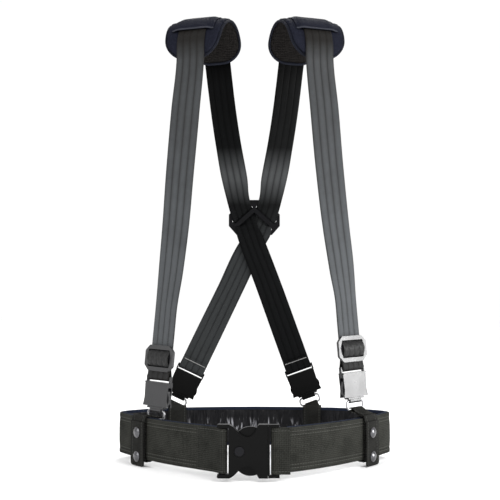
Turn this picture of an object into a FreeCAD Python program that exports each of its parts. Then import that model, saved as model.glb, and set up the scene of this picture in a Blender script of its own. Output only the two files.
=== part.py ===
import FreeCAD, Part
import math
import os

# Duty belt on padded suspenders. Millimetres, +Z up, front of the wearer at -Y,
# Z = 0 at the belt's mid height. Left means -X, as seen from the front.

# Belt
BELT_HEIGHT = 50.0
BELT_FRONT_Y = -102.0
BELT_ARCS = [(90.0, 32.0), (405.0, 56.0), (16.0, 142.0), (150.0, 169.6)]
WEBBING_OUT = 3.0
WEBBING_IN = -0.5
LINING_IN = -3.0
LINING_HEIGHT = 45.0
BINDING_IN = -3.4
BELT_LEFT_HEADING = 28.0
BELT_RIGHT_X = 38.0

# Front buckle
BUCKLE_Y = -102.0
SHELL_DEPTH = 10.0
SHELL_WALL = 2.5
SHELL_LEFT = -30.0
SHELL_RIGHT = 14.0
SHELL_HALF_HEIGHT = 29.6
NOTCH = [(-26.0, 27.8), (-21.5, 24.0), (-14.5, 18.0), (-7.0, 16.2), (-1.0, 20.4), (2.0, 26.4)]
LUG_LEFT = -43.0
CAVITY_LEFT = -25.0
CAVITY_HALF_HEIGHT = 27.6
PLUG_DEPTH = 4.0
TONGUE_HALF_HEIGHT = 8.0
TONGUE_TIP = -9.0
TANG_PIVOT_X = 7.0
TANG_PIVOT_Z = 20.0
TANG_ROOT_RADIUS = 4.0
TANG_TOP = 27.2
BUTTON_X = -18.0
BUTTON_Z = 0.0
BUTTON_RADIUS = 5.5
LEFT_BAR_X = -35.6
RIGHT_BAR_X = 22.0
BAR_RADIUS = 1.8
FOLD_RIGHT = 39.0
FOLD_HALF_HEIGHT = 26.0
FOLD_WALL = 2.4

# Suspender strap
STRAP_WIDTH = 35.0
STRAP_THICKNESS = 1.6

# Side-release clip, in its own frame: Z up the leg, -Y outward, origin at its centre
CLIP_HALF_WIDTH = 19.0
CLIP_HALF_HEIGHT = 15.0
CLIP_HALF_DEPTH = 4.4
CLIP_WALL = 1.6
CLIP_BAR_Z = 20.0
CLIP_BAR_RADIUS = 1.5
CLIP_PLUG_HALF_DEPTH = 2.0
ARM_PIVOT_X = 16.0
ARM_PIVOT_Z = -13.0
LOOP_TOP = 38.0
CLIP_TRAVEL = 26.0
SLACK_GAP = 0.3
ADJUSTER_Z = 44.0
ADJUSTER_WIDTH = 46.0
ADJUSTER_HEIGHT = 32.0
ADJUSTER_BAR = 5.2
ADJUSTER_DEPTH = 3.6
ADJUSTER_CLEARANCE = 0.7
STRAIGHT_TOP = 102.0

# Wire ring between clip and belt keeper
RING_Z = -19.7
RING_WIDTH = 27.0
RING_DROP = 10.0
RING_CORNER = 4.0
RING_WIRE = 1.25
EYE_CLEARANCE = 0.35

# Belt keeper, in its own frame: origin at the belt's mid height, -Y outward
KEEPER_GAP = 4.1
KEEPER_WALL = 1.8
KEEPER_HALF_HEIGHT = 28.0
FLAP_GAP = 0.5
FLAP_TOP = 20.0
FLAP_BOTTOM = -33.0
SNAP_HEIGHTS = (7.0, -22.0)
CAP_RADIUS = 6.5
STUD_RADIUS = 2.6

# Shoulder pad: an arch in a vertical plane
PAD_CENTRE = (63.0, -18.0, 467.0)
PAD_YAW = 15.6
PAD_RADIUS = 50.0
PAD_THICKNESS = 8.0
PAD_WIDTH = 64.0
PAD_FRONT_ANGLE = -8.0
PAD_BACK_ANGLE = 163.0
PAD_CORNER = 24.0
SLEEVE_ANGLES = (32.0, 122.0)
SLEEVE_HALF_WIDTH = 26.0
SLEEVE_WALL = 1.3

# Cross plate on the back
PLATE_Y = 98.0
PLATE_THICKNESS = 3.0
PLATE_Z = 285.0
PLATE_HALF_WIDTH = 35.5
PLATE_HALF_HEIGHT = 24.5
SLOT_TILT = 42.0
SLOT_CENTRE = (16.5, 289.5)
SLOT_HALF_LENGTH = 17.4
SLOT_HALF_WIDTH = 3.2
CROSS_BAR = 6.0

# One entry per leg: clip centre, direction up the leg, heading of its outward face,
# belt heading and width of its keeper. Headings run from the front over +X to the back.
LEGS = {
    "front_left": ((-120, -10, 53), (10, 5, 123), -36, -49, 28),
    "front_right": ((122, -10, 65), (-9, 5, 123), 36, 49, 28),
    "back_left": ((-95, 88, 57), (64, 6.2, 133), -174, -168, 24),
    "back_right": ((67, 88, 58), (-51, 3.4, 142), 174, 171.9, 24),
}


def vector(x, y, z):
    return FreeCAD.Vector(x, y, z)


def sin(degrees):
    return math.sin(math.radians(degrees))


def cos(degrees):
    return math.cos(math.radians(degrees))


def unit(direction):
    return direction / direction.Length


def placed(shape, origin, x_axis, z_axis):
    """Move a shape built at the origin onto a frame given by its X and Z directions."""
    rotation = FreeCAD.Rotation(x_axis, z_axis.cross(x_axis), z_axis, "ZXY")
    shape.Placement = FreeCAD.Placement(origin, rotation).multiply(shape.Placement)
    return shape


def box(x_span, y_span, z_span):
    size = [high - low for low, high in (x_span, y_span, z_span)]
    return Part.makeBox(size[0], size[1], size[2], vector(x_span[0], y_span[0], z_span[0]))


def slab(points, y_low, y_high):
    """Plate cut to an outline of (x, z) corners and filling a span of Y."""
    corners = [vector(x, y_low, z) for x, z in points]
    outline = Part.makePolygon(corners + corners[:1])
    return Part.Face(outline).extrude(vector(0, y_high - y_low, 0))


def upright(points, z_low, z_high):
    """Column cut to an outline of (x, y) corners and filling a span of Z."""
    corners = [vector(x, y, z_low) for x, y in points]
    outline = Part.makePolygon(corners + corners[:1])
    return Part.Face(outline).extrude(vector(0, 0, z_high - z_low))


def rod(radius, start, end):
    return Part.makeCylinder(radius, (end - start).Length, start, end - start)


def round_edges(shape, radius, direction):
    """Round the straight edges that run along a direction."""
    chosen = []
    for edge in shape.Edges:
        if edge.Curve.TypeId != "Part::GeomLine":
            continue
        if abs(unit(edge.tangentAt(edge.FirstParameter)).dot(direction)) > 0.999:
            chosen.append(edge)
    return shape.makeFillet(radius, chosen)


def save(name, solids):
    shape = solids[0] if len(solids) == 1 else Part.makeCompound(solids)
    shape.exportStep("parts/" + name + ".step")


# ---------------------------------------------------------------- belt


def belt_arcs():
    """Right half of the belt's centreline as (centre, radius, first heading, last heading)."""
    arcs = []
    point = vector(0, BELT_FRONT_Y, 0)
    heading = 0.0
    for radius, last in BELT_ARCS + [(None, 180.0)]:
        if radius is None:
            radius = point.x / sin(heading)
        centre = point - outward(heading) * radius
        arcs.append((centre, radius, heading, last))
        point = centre + outward(last) * radius
        heading = last
    return arcs


def outward(heading):
    return vector(sin(heading), -cos(heading), 0)


def along(heading):
    return vector(cos(heading), sin(heading), 0)


def belt_point(heading, offset=0.0):
    """Point on the belt at a heading, which is negative on the left half."""
    for centre, radius, first, last in belt_arcs():
        if first <= abs(heading) <= last:
            point = centre + outward(abs(heading)) * (radius + offset)
    return vector(math.copysign(point.x, heading), point.y, 0)


def belt_side(offset, start, side):
    """Edges of one long side of the belt on one half, from a heading round to the back."""
    edges = []
    for centre, radius, first, last in belt_arcs():
        if last <= start:
            continue
        low = max(first, start)
        points = []
        for heading in (low, (low + last) / 2, last):
            point = centre + outward(heading) * (radius + offset)
            points.append(vector(side * point.x, point.y, 0))
        edges.append(Part.Arc(points[0], points[1], points[2]).toShape())
    return edges


def belt_band(inner, outer, z_low, z_high):
    """Open band that follows the belt from one end round the back to the other."""
    right_heading = math.degrees(math.asin(BELT_RIGHT_X / BELT_ARCS[0][0]))
    edges = []
    for side, start in ((1, right_heading), (-1, BELT_LEFT_HEADING)):
        inside = belt_side(inner, start, side)
        outside = belt_side(outer, start, side)
        edges += inside + outside
        edges.append(Part.makeLine(inside[0].firstVertex().Point, outside[0].firstVertex().Point))
    outline = Part.Wire(Part.__sortEdges__(edges))
    band = Part.Face(outline).extrude(vector(0, 0, z_high - z_low))
    band.translate(vector(0, 0, z_low))
    return band


def teardrop(bar, reach, wall, half_height, hole):
    """Folded webbing round an upright bar, tapering to a point at reach."""
    radius = hole + wall
    toward = reach - bar
    angle = math.degrees(math.acos(radius / toward.Length))
    ray = unit(toward)
    touch = []
    for turn in (angle, -angle):
        rotation = FreeCAD.Rotation(vector(0, 0, 1), turn)
        touch.append(bar + rotation.multVec(ray) * radius)
    far = bar - ray * radius
    edges = [
        Part.Arc(touch[0], far, touch[1]).toShape(),
        Part.makeLine(touch[1], reach),
        Part.makeLine(reach, touch[0]),
    ]
    body = Part.Face(Part.Wire(edges)).extrude(vector(0, 0, 2 * half_height))
    body.translate(vector(0, 0, -half_height))
    bore = rod(hole, bar - vector(0, 0, half_height + 1), bar + vector(0, 0, half_height + 1))
    return body.cut(bore)


def belt_webbing():
    """Outer webbing with its left end folded round the bar of the buckle shell."""
    half = BELT_HEIGHT / 2
    band = belt_band(WEBBING_IN, WEBBING_OUT, -half, half)
    bar = vector(LEFT_BAR_X, BUCKLE_Y, 0)
    reach = belt_point(-33.5, 1.0)
    fold = teardrop(bar, reach, FOLD_WALL, half, BAR_RADIUS + 0.2)
    return [band.fuse(fold).removeSplitter()]


def belt_lining():
    return [belt_band(LINING_IN, WEBBING_IN, -LINING_HEIGHT / 2, LINING_HEIGHT / 2)]


def belt_bindings():
    """Narrow tapes that close the lining's upper and lower edges."""
    low = LINING_HEIGHT / 2
    high = BELT_HEIGHT / 2 + 0.2
    return [
        belt_band(BINDING_IN, WEBBING_IN, low, high),
        belt_band(BINDING_IN, WEBBING_IN, -high, -low),
    ]


# ---------------------------------------------------------------- front buckle


def shell_outline():
    """Outline of the shell with a deep notch above and below for the tangs."""
    high = SHELL_HALF_HEIGHT
    shoulder = vector(4.2, 0, high)
    notch = Part.BSplineCurve()
    notch.interpolate([vector(SHELL_LEFT, 0, high)] + [vector(x, 0, z) for x, z in NOTCH] + [shoulder])
    corner = vector(SHELL_RIGHT, 0, high)
    upper = [notch.toShape(), Part.makeLine(shoulder, corner)]
    lower = [edge.mirror(vector(0, 0, 0), vector(0, 0, 1)) for edge in upper]
    ends = [
        Part.makeLine(corner, vector(SHELL_RIGHT, 0, -high)),
        Part.makeLine(vector(SHELL_LEFT, 0, high), vector(SHELL_LEFT, 0, -high)),
    ]
    return Part.Wire(Part.__sortEdges__(upper + lower + ends))


def buckle_shell():
    """Female half: hollow box open at the right, with lugs and a bar for the webbing at the left."""
    front = BUCKLE_Y - SHELL_DEPTH / 2
    back = BUCKLE_Y + SHELL_DEPTH / 2
    body = Part.Face(shell_outline()).extrude(vector(0, SHELL_DEPTH, 0))
    body.translate(vector(0, front, 0))
    inner = (front + SHELL_WALL, back - SHELL_WALL)
    cavity = box((CAVITY_LEFT, SHELL_RIGHT + 1), inner, (-CAVITY_HALF_HEIGHT, CAVITY_HALF_HEIGHT))
    body = body.cut(cavity)
    eye = vector(BUTTON_X, front - 1, BUTTON_Z)
    body = body.cut(rod(BUTTON_RADIUS + 0.4, eye, eye + vector(0, SHELL_WALL + 2, 0)))
    for side in (1, -1):
        lug_z = sorted((side * 25.6, side * SHELL_HALF_HEIGHT))
        lug = box((LUG_LEFT, SHELL_LEFT + 2), (BUCKLE_Y - 4, BUCKLE_Y + 4), lug_z)
        lug = round_edges(lug, 1.8, vector(0, 1, 0))
        body = body.fuse(lug)
    bar = vector(LEFT_BAR_X, BUCKLE_Y, 0)
    body = body.fuse(rod(BAR_RADIUS, bar - vector(0, 0, 27), bar + vector(0, 0, 27)))
    return [body.removeSplitter()]


def buckle_plug():
    """Male half without its flexing tangs: tongue, collar, ears and the bar for the fold."""
    thin = (BUCKLE_Y - PLUG_DEPTH / 2, BUCKLE_Y + PLUG_DEPTH / 2)
    block_left = TANG_PIVOT_X + TANG_ROOT_RADIUS + 0.35
    tongue = box((TONGUE_TIP, block_left), thin, (-TONGUE_HALF_HEIGHT, TONGUE_HALF_HEIGHT))
    tongue = round_edges(tongue, 3.0, vector(0, 1, 0))
    block = box((block_left - 3, SHELL_RIGHT + 1), thin, (-TONGUE_HALF_HEIGHT, TONGUE_HALF_HEIGHT))
    rail = box((block_left, SHELL_RIGHT + 1), thin, (-TANG_TOP, TANG_TOP))
    collar = box((SHELL_RIGHT + 0.4, 16.2), (BUCKLE_Y - 4, BUCKLE_Y + 2.4), (-29.5, 29.5))
    body = tongue.fuse([block, rail, collar])
    for side in (1, -1):
        ear_z = sorted((side * 26.6, side * 29.5))
        ear = box((SHELL_RIGHT + 0.6, RIGHT_BAR_X + 5), (BUCKLE_Y - 3.4, BUCKLE_Y + 2.4), ear_z)
        body = body.fuse(ear)
    bar = vector(RIGHT_BAR_X, BUCKLE_Y, 0)
    body = body.fuse(rod(BAR_RADIUS, bar - vector(0, 0, 28), bar + vector(0, 0, 28)))
    return [body.removeSplitter()]


def right_fold():
    """Stitched webbing end folded round the plug's bar."""
    bar = vector(RIGHT_BAR_X, BUCKLE_Y, 0)
    hole = BAR_RADIUS + 0.2
    wrap = hole + FOLD_WALL - 0.2
    tail = 2.5
    loop = rod(wrap, bar - vector(0, 0, FOLD_HALF_HEIGHT), bar + vector(0, 0, FOLD_HALF_HEIGHT))
    points = [
        (RIGHT_BAR_X, BUCKLE_Y - wrap),
        (RIGHT_BAR_X + 6, BUCKLE_Y - tail),
        (FOLD_RIGHT, BUCKLE_Y - tail),
        (FOLD_RIGHT, BUCKLE_Y + tail),
        (RIGHT_BAR_X + 6, BUCKLE_Y + tail),
        (RIGHT_BAR_X, BUCKLE_Y + wrap),
    ]
    body = loop.fuse(upright(points, -FOLD_HALF_HEIGHT, FOLD_HALF_HEIGHT)).removeSplitter()
    return [body.cut(rod(hole, bar - vector(0, 0, 30), bar + vector(0, 0, 30)))]


def buckle_tang(side):
    """Flexing arm of the plug, with the lens-shaped edge that is squeezed in the notch."""
    low = TANG_PIVOT_Z - TANG_ROOT_RADIUS
    high = TANG_PIVOT_Z + TANG_ROOT_RADIUS
    thin = BUCKLE_Y - PLUG_DEPTH / 2
    tip = vector(-21.0, thin, 19.6)
    lens = Part.BSplineCurve()
    crown = [(-17.5, 23.0), (-11.0, 26.4), (-5.0, TANG_TOP), (1.5, 26.0), (TANG_PIVOT_X, high)]
    lens.interpolate([tip] + [vector(x, thin, z) for x, z in crown])
    root = Part.Arc(
        vector(TANG_PIVOT_X, thin, high),
        vector(TANG_PIVOT_X + TANG_ROOT_RADIUS, thin, TANG_PIVOT_Z),
        vector(TANG_PIVOT_X, thin, low),
    )
    heel = vector(-17.0, thin, 14.8)
    edges = [
        lens.toShape(),
        root.toShape(),
        Part.makeLine(vector(TANG_PIVOT_X, thin, low), heel),
        Part.makeLine(heel, tip),
    ]
    body = Part.Face(Part.Wire(edges)).extrude(vector(0, PLUG_DEPTH, 0))
    if side < 0:
        body = body.mirror(vector(0, 0, 0), vector(0, 0, 1))
    return [body]


def buckle_button():
    """Round push button with a flange that keeps it in the shell."""
    face = BUCKLE_Y - SHELL_DEPTH / 2 - 0.8
    ledge = BUCKLE_Y - SHELL_DEPTH / 2 + SHELL_WALL + 0.3
    start = vector(BUTTON_X, face, BUTTON_Z)
    stem = rod(BUTTON_RADIUS, start, vector(BUTTON_X, ledge + 0.5, BUTTON_Z))
    rim = [edge for edge in stem.Edges if abs(edge.CenterOfMass.y - face) < 0.01]
    stem = stem.makeFillet(0.6, rim)
    flange = rod(BUTTON_RADIUS + 1, vector(BUTTON_X, ledge, BUTTON_Z), vector(BUTTON_X, ledge + 0.8, BUTTON_Z))
    return [stem.fuse(flange).removeSplitter()]


def button_spring():
    """Small coil of hexagonal wire between the button and the shell's back wall."""
    near = BUCKLE_Y - SHELL_DEPTH / 2 + SHELL_WALL + 1.5
    far = BUCKLE_Y + SHELL_DEPTH / 2 - SHELL_WALL - 0.4
    coil_radius = 2.5
    wire = Part.makeHelix(1.2, far - near, coil_radius)
    corners = []
    for turn in range(0, 360, 60):
        corners.append(vector(coil_radius + 0.35 * cos(turn), 0, 0.35 * sin(turn)))
    ring = Part.makePolygon(corners + corners[:1])
    coil = wire.makePipeShell([ring], True, True)
    coil.rotate(vector(0, 0, 0), vector(1, 0, 0), -90)
    coil.translate(vector(BUTTON_X, near, BUTTON_Z))
    return [coil]


# ---------------------------------------------------------------- legs


def leg_frame(leg):
    """Clip centre, direction across the strap and direction up the leg."""
    centre, up, heading, keeper_heading, keeper_width = LEGS[leg]
    up = unit(vector(up[0], up[1], up[2]))
    across = along(heading)
    across = unit(across - up * across.dot(up))
    return vector(centre[0], centre[1], centre[2]), across, up


def on_leg(leg, shape):
    centre, across, up = leg_frame(leg)
    return placed(shape, centre, across, up)


def clip_housing(leg):
    """Female clip half: two plates, a closed top and ears with the strap bar."""
    half = CLIP_HALF_WIDTH
    height = CLIP_HALF_HEIGHT
    outline = [
        (-half - 1, -height),
        (half + 1, -height),
        (half - 0.6, -height + 9),
        (half, height),
        (-half, height),
        (-half + 0.6, -height + 9),
    ]
    inside = CLIP_HALF_DEPTH - CLIP_WALL
    body = slab(outline, -CLIP_HALF_DEPTH, -inside)
    body = body.fuse(slab(outline, inside, CLIP_HALF_DEPTH))
    body = body.fuse(box((-half, half), (-CLIP_HALF_DEPTH, CLIP_HALF_DEPTH), (height - 6, height)))
    body = body.fuse(box((-half, half), (-CLIP_HALF_DEPTH - 0.7, -CLIP_HALF_DEPTH + 1), (height - 1.8, height)))
    for side in (1, -1):
        ear_x = sorted((side * 17.9, side * 19.6))
        body = body.fuse(box(ear_x, (-2.2, 2.2), (height - 1, CLIP_BAR_Z + 2.2)))
    bar = rod(CLIP_BAR_RADIUS, vector(-18.5, 0, CLIP_BAR_Z), vector(18.5, 0, CLIP_BAR_Z))
    return [on_leg(leg, body.fuse(bar).removeSplitter())]


def clip_plug(leg):
    """Male clip half without its arms: tongue, base and the lug that carries the ring."""
    thin = (-CLIP_PLUG_HALF_DEPTH, CLIP_PLUG_HALF_DEPTH)
    tongue = box((-5, 5), thin, (-12, 5))
    base = box((-13.8, 13.8), thin, (-CLIP_HALF_HEIGHT - 1, -10.5))
    foot = box((-13, 13), (-4, 4), (-CLIP_HALF_HEIGHT - 2.5, -CLIP_HALF_HEIGHT - 0.4))
    lug = box((-9, 9), (-3, 3), (RING_Z - 2.6, -CLIP_HALF_HEIGHT - 1))
    lug = round_edges(lug, 2.4, vector(1, 0, 0))
    tunnel = rod(RING_WIRE + EYE_CLEARANCE, vector(-10, 0, RING_Z), vector(10, 0, RING_Z))
    body = tongue.fuse([base, foot, lug]).cut(tunnel)
    return [on_leg(leg, body.removeSplitter())]


def clip_arm(leg, side):
    """Flexing side arm of the plug, with its finger swell outside the plates."""
    outer = [
        vector(ARM_PIVOT_X + 1.8, 0, ARM_PIVOT_Z),
        vector(19.4, 0, -10),
        vector(20.4, 0, -5),
        vector(18.8, 0, 0),
        vector(17.6, 0, 4.6),
    ]
    swell = Part.BSplineCurve()
    swell.interpolate(outer)
    root = Part.Arc(
        vector(ARM_PIVOT_X - 1.8, 0, ARM_PIVOT_Z),
        vector(ARM_PIVOT_X, 0, ARM_PIVOT_Z - 1.8),
        outer[0],
    )
    edges = [
        root.toShape(),
        swell.toShape(),
        Part.makeLine(outer[4], vector(15.2, 0, 4.6)),
        Part.makeLine(vector(15.2, 0, 4.6), vector(ARM_PIVOT_X - 1.8, 0, ARM_PIVOT_Z)),
    ]
    body = Part.Face(Part.Wire(edges)).extrude(vector(0, 2 * CLIP_PLUG_HALF_DEPTH, 0))
    body.translate(vector(0, -CLIP_PLUG_HALF_DEPTH, 0))
    if side < 0:
        body = body.mirror(vector(0, 0, 0), vector(1, 0, 0))
    return [on_leg(leg, body)]


def strap_eye(leg):
    """Strap end folded round the clip's bar, with a short flat run above it."""
    hole = CLIP_BAR_RADIUS + 0.2
    wrap = hole + STRAP_THICKNESS
    half = STRAP_WIDTH / 2
    flat = STRAP_THICKNESS / 2
    loop = rod(wrap, vector(-half, 0, CLIP_BAR_Z), vector(half, 0, CLIP_BAR_Z))
    points = [
        (-wrap, CLIP_BAR_Z),
        (wrap, CLIP_BAR_Z),
        (flat, CLIP_BAR_Z + 6),
        (flat, LOOP_TOP),
        (-flat, LOOP_TOP),
        (-flat, CLIP_BAR_Z + 6),
    ]
    corners = [vector(-half, y, z) for y, z in points]
    web = Part.Face(Part.makePolygon(corners + corners[:1])).extrude(vector(2 * half, 0, 0))
    bore = rod(hole, vector(-half - 1, 0, CLIP_BAR_Z), vector(half + 1, 0, CLIP_BAR_Z))
    return [on_leg(leg, loop.fuse(web).removeSplitter().cut(bore))]


def strap_slack(leg):
    """Straight bit of strap that buckles when the clip housing is lifted off its plug."""
    low = LOOP_TOP + SLACK_GAP
    half = STRAP_WIDTH / 2
    flat = STRAP_THICKNESS / 2
    return [on_leg(leg, box((-half, half), (-flat, flat), (low, low + CLIP_TRAVEL)))]


def adjuster_frame(leg):
    """Slide adjuster: frame with cut and rounded corners and a centre bar, outside the strap."""
    half = ADJUSTER_WIDTH / 2
    height = ADJUSTER_HEIGHT / 2
    cut = 7.0
    near = -STRAP_THICKNESS / 2 - ADJUSTER_CLEARANCE
    outline = [
        (half - cut, -height),
        (half, -height + cut),
        (half, height - cut),
        (half - cut, height),
        (-half + cut, height),
        (-half, height - cut),
        (-half, -height + cut),
        (-half + cut, -height),
    ]
    body = round_edges(slab(outline, near - ADJUSTER_DEPTH, near), 3.0, vector(0, 1, 0))
    for side in (1, -1):
        low = ADJUSTER_BAR / 2
        high = height - ADJUSTER_BAR
        window = box((-half + ADJUSTER_BAR, half - ADJUSTER_BAR), (-9, 9), sorted((side * low, side * high)))
        body = body.cut(round_edges(window, 1.8, vector(0, 1, 0)))
    body.translate(vector(0, 0, ADJUSTER_Z))
    return [on_leg(leg, body)]


def clip_ring(leg):
    """Rectangular wire ring with round corners, hanging in the lug of the clip."""
    half = RING_WIDTH / 2
    top = RING_Z
    low = RING_Z - RING_DROP
    corners = [vector(-half, 0, low), vector(half, 0, low), vector(half, 0, top), vector(-half, 0, top)]
    frame = Part.Face(Part.makePolygon(corners + corners[:1])).extrude(vector(0, 1, 0))
    frame = round_edges(frame, RING_CORNER, vector(0, 1, 0))
    rim = [edge for edge in frame.Edges if edge.BoundBox.YMax < 0.001]
    path = Part.Wire(Part.__sortEdges__(rim))
    start = path.Edges[0].valueAt(path.Edges[0].FirstParameter)
    heading = path.Edges[0].tangentAt(path.Edges[0].FirstParameter)
    section = Part.Wire(Part.makeCircle(RING_WIRE, start, heading))
    return on_leg(leg, path.makePipeShell([section], True, False))


# ---------------------------------------------------------------- belt keepers


def on_belt(leg, shape):
    heading = LEGS[leg][3]
    return placed(shape, belt_point(heading), along(heading), vector(0, 0, 1))


def keeper_loop(leg):
    """Webbing loop round the belt whose tapered top holds the lower wire of the ring."""
    width = LEGS[leg][4]
    outside = KEEPER_GAP + KEEPER_WALL
    inside_height = KEEPER_HALF_HEIGHT - KEEPER_WALL
    loop = box((-width / 2, width / 2), (-outside, outside), (-KEEPER_HALF_HEIGHT, KEEPER_HALF_HEIGHT))
    loop = loop.cut(box((-width, width), (-KEEPER_GAP, KEEPER_GAP), (-inside_height, inside_height)))
    loop = on_belt(leg, loop)
    centre, across, up = leg_frame(leg)
    eye = centre + up * (RING_Z - RING_DROP)
    heading = LEGS[leg][3]
    foot = belt_point(heading) + vector(0, 0, KEEPER_HALF_HEIGHT - KEEPER_WALL / 2)
    across_belt = along(heading)
    if across_belt.dot(across) < 0:
        across_belt = -across_belt
    sections = []
    for point, sideways, half in ((foot, across_belt, width / 2 - 2), (eye, across, 8.0)):
        lift = unit(sideways.cross(eye - foot)) * (KEEPER_WALL / 2)
        side = sideways * half
        corners = [point - side - lift, point + side - lift, point + side + lift, point - side + lift]
        sections.append(Part.makePolygon(corners + corners[:1]))
    neck = Part.makeLoft(sections, True, True)
    hole = RING_WIRE + EYE_CLEARANCE
    wrap = rod(hole + KEEPER_WALL, eye - across * 8, eye + across * 8)
    bore = rod(hole, eye - across * 20, eye + across * 20)
    return [loop.fuse([neck, wrap]).cut(bore).removeSplitter()]


def keeper_studs(leg):
    """Two snap studs on the keeper's outer wall."""
    wall = -KEEPER_GAP - KEEPER_WALL
    studs = []
    for height in SNAP_HEIGHTS:
        stud = rod(STUD_RADIUS, vector(0, wall, height), vector(0, wall - 2.0, height))
        studs.append(on_belt(leg, stud))
    return studs


def keeper_flap(leg):
    """Outer flap of the keeper, rounded at its foot and pierced behind both snap caps."""
    width = LEGS[leg][4]
    near = -KEEPER_GAP - KEEPER_WALL - FLAP_GAP
    far = near - KEEPER_WALL
    mid = (near + far) / 2
    flap = box((-width / 2, width / 2), (far, near), (FLAP_BOTTOM, FLAP_TOP))
    foot = [edge for edge in flap.Edges if edge.BoundBox.ZMax < FLAP_BOTTOM + 0.01 and edge.BoundBox.XLength < 1]
    flap = flap.makeFillet(4.0, foot)
    flap = flap.fuse(rod(KEEPER_WALL / 2, vector(-width / 2, mid, FLAP_TOP), vector(width / 2, mid, FLAP_TOP)))
    for height in SNAP_HEIGHTS:
        flap = flap.cut(rod(STUD_RADIUS + 0.6, vector(0, near + 1, height), vector(0, far - 1, height)))
    return [on_belt(leg, flap.removeSplitter())]


def keeper_caps(leg):
    """Domed snap caps on the outside of the flap."""
    face = -KEEPER_GAP - 2 * KEEPER_WALL - FLAP_GAP
    rise = 2.2
    ball_radius = (CAP_RADIUS ** 2 + rise ** 2) / (2 * rise)
    caps = []
    for height in SNAP_HEIGHTS:
        rim = rod(CAP_RADIUS, vector(0, face, height), vector(0, face - 0.8, height))
        ball = Part.makeSphere(ball_radius, vector(0, face - 0.8 + ball_radius - rise, height))
        keep = rod(CAP_RADIUS, vector(0, face - 0.8, height), vector(0, face - 0.8 - rise - 1, height))
        caps.append(on_belt(leg, rim.fuse(ball.common(keep)).removeSplitter()))
    return caps


# ---------------------------------------------------------------- straps and pads


def ribbon(stations, thickness, ruled=False):
    """Flat strap through stations of (centre, half-width vector, normal)."""
    sections = []
    for centre, half, normal in stations:
        lift = unit(normal) * (thickness / 2)
        corners = [centre - half - lift, centre + half - lift, centre + half + lift, centre - half + lift]
        sections.append(Part.makePolygon(corners + corners[:1]))
    return Part.makeLoft(sections, True, ruled)


def pad_axes(side):
    """Centre of the pad's arch, direction across the pad and direction to its front."""
    centre = vector(side * PAD_CENTRE[0], PAD_CENTRE[1], PAD_CENTRE[2])
    return centre, along(side * PAD_YAW), outward(side * PAD_YAW)


def over_pad(side, angles):
    """Strap stations on the pad's outer face."""
    centre, across, front = pad_axes(side)
    reach = PAD_RADIUS + PAD_THICKNESS / 2 + 0.15 + STRAP_THICKNESS / 2
    stations = []
    for angle in angles:
        radial = front * cos(angle) + vector(0, 0, sin(angle))
        stations.append((centre + radial * reach, across * (STRAP_WIDTH / 2), radial))
    return stations


def hanging(points, headings, after):
    """Strap stations in free air, each facing a heading and square to its run."""
    stations = []
    run = [points[0]] + points + [after]
    for index, heading in enumerate(headings):
        down = unit(run[index + 2] - run[index])
        across = along(heading)
        across = unit(across - down * across.dot(down))
        stations.append((points[index], across * (STRAP_WIDTH / 2), across.cross(-down)))
    return stations


def front_strap(leg, side):
    """Strap from the pad's apex over its front and down to the slack above the clip."""
    centre, across, up = leg_frame(leg)
    spots = [(84, -60, 398), (91, -50, 326), (98, -34, 254), (104, -20, 208)]
    points = [vector(side * x, y, z) for x, y, z in spots]
    leg_top = centre + up * STRAIGHT_TOP
    headings = [side * 9, side * 12, side * 19, side * 27]
    normal = across.cross(up)
    stations = over_pad(side, (90, 74, 58, 42, 26, 10, -7))
    stations += hanging(points, headings, leg_top)
    stations.append((leg_top, across * (STRAP_WIDTH / 2), normal))
    low = LOOP_TOP + 2 * SLACK_GAP + CLIP_TRAVEL
    half = STRAP_WIDTH / 2
    flat = STRAP_THICKNESS / 2
    straight = on_leg(leg, box((-half, half), (-flat, flat), (low, STRAIGHT_TOP)))
    return [ribbon(stations, STRAP_THICKNESS), straight]


def slot_stations(side, steps):
    """Strap stations at the cross plate: distance past the slot and depth behind mid-plate."""
    tilt = vector(cos(SLOT_TILT), 0, -side * sin(SLOT_TILT))
    slant = vector(-side * sin(18.6), 0, -cos(18.6))
    centre = vector(side * SLOT_CENTRE[0], PLATE_Y, SLOT_CENTRE[1])
    stations = []
    for distance, depth, normal in steps:
        point = centre + slant * distance + vector(0, depth, 0)
        stations.append((point, tilt * (SLOT_HALF_LENGTH - 1), normal))
    return stations


def back_upper_strap(side):
    """Strap from the pad's apex down the back and through its slot in the cross plate."""
    spots = [(42, 50, 425), (35.5, 70, 382), (27, 85, 336)]
    points = [vector(side * x, y, z) for x, y, z in spots]
    slot = vector(side * SLOT_CENTRE[0], PLATE_Y, SLOT_CENTRE[1])
    stations = over_pad(side, (90, 106, 122, 138, 152, 163))
    for centre, half, normal in hanging(points, [180 + side * 14, 180 + side * 8, 180], slot):
        stations.append((centre, -half, normal))
    body = ribbon(stations, STRAP_THICKNESS)
    last = stations[-1]
    flat = vector(0, 1, 0)
    slanted = vector(0, 0.8, 0.6)
    ends = slot_stations(side, [(-4, -3, slanted), (4, 3, slanted), (9, 3.3, flat)])
    tail = ribbon([last] + ends, STRAP_THICKNESS, True)
    return [body.fuse(tail).removeSplitter()]


def back_lower_strap(leg, depth, middle, top_x):
    """Strap from the front of the cross plate down to the slack above the clip."""
    centre, across, up = leg_frame(leg)
    half = STRAP_WIDTH / 2
    normal = across.cross(up)
    low = centre + up * (LOOP_TOP + 2 * SLACK_GAP + CLIP_TRAVEL)
    top = vector(top_x, PLATE_Y + depth, 280)
    stations = [
        (low, across * half, normal),
        (middle, across * half, normal),
        (top, vector(-half / cos(20), 0, 0), vector(0, 1, 0)),
    ]
    return [ribbon(stations, STRAP_THICKNESS, True)]


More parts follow.
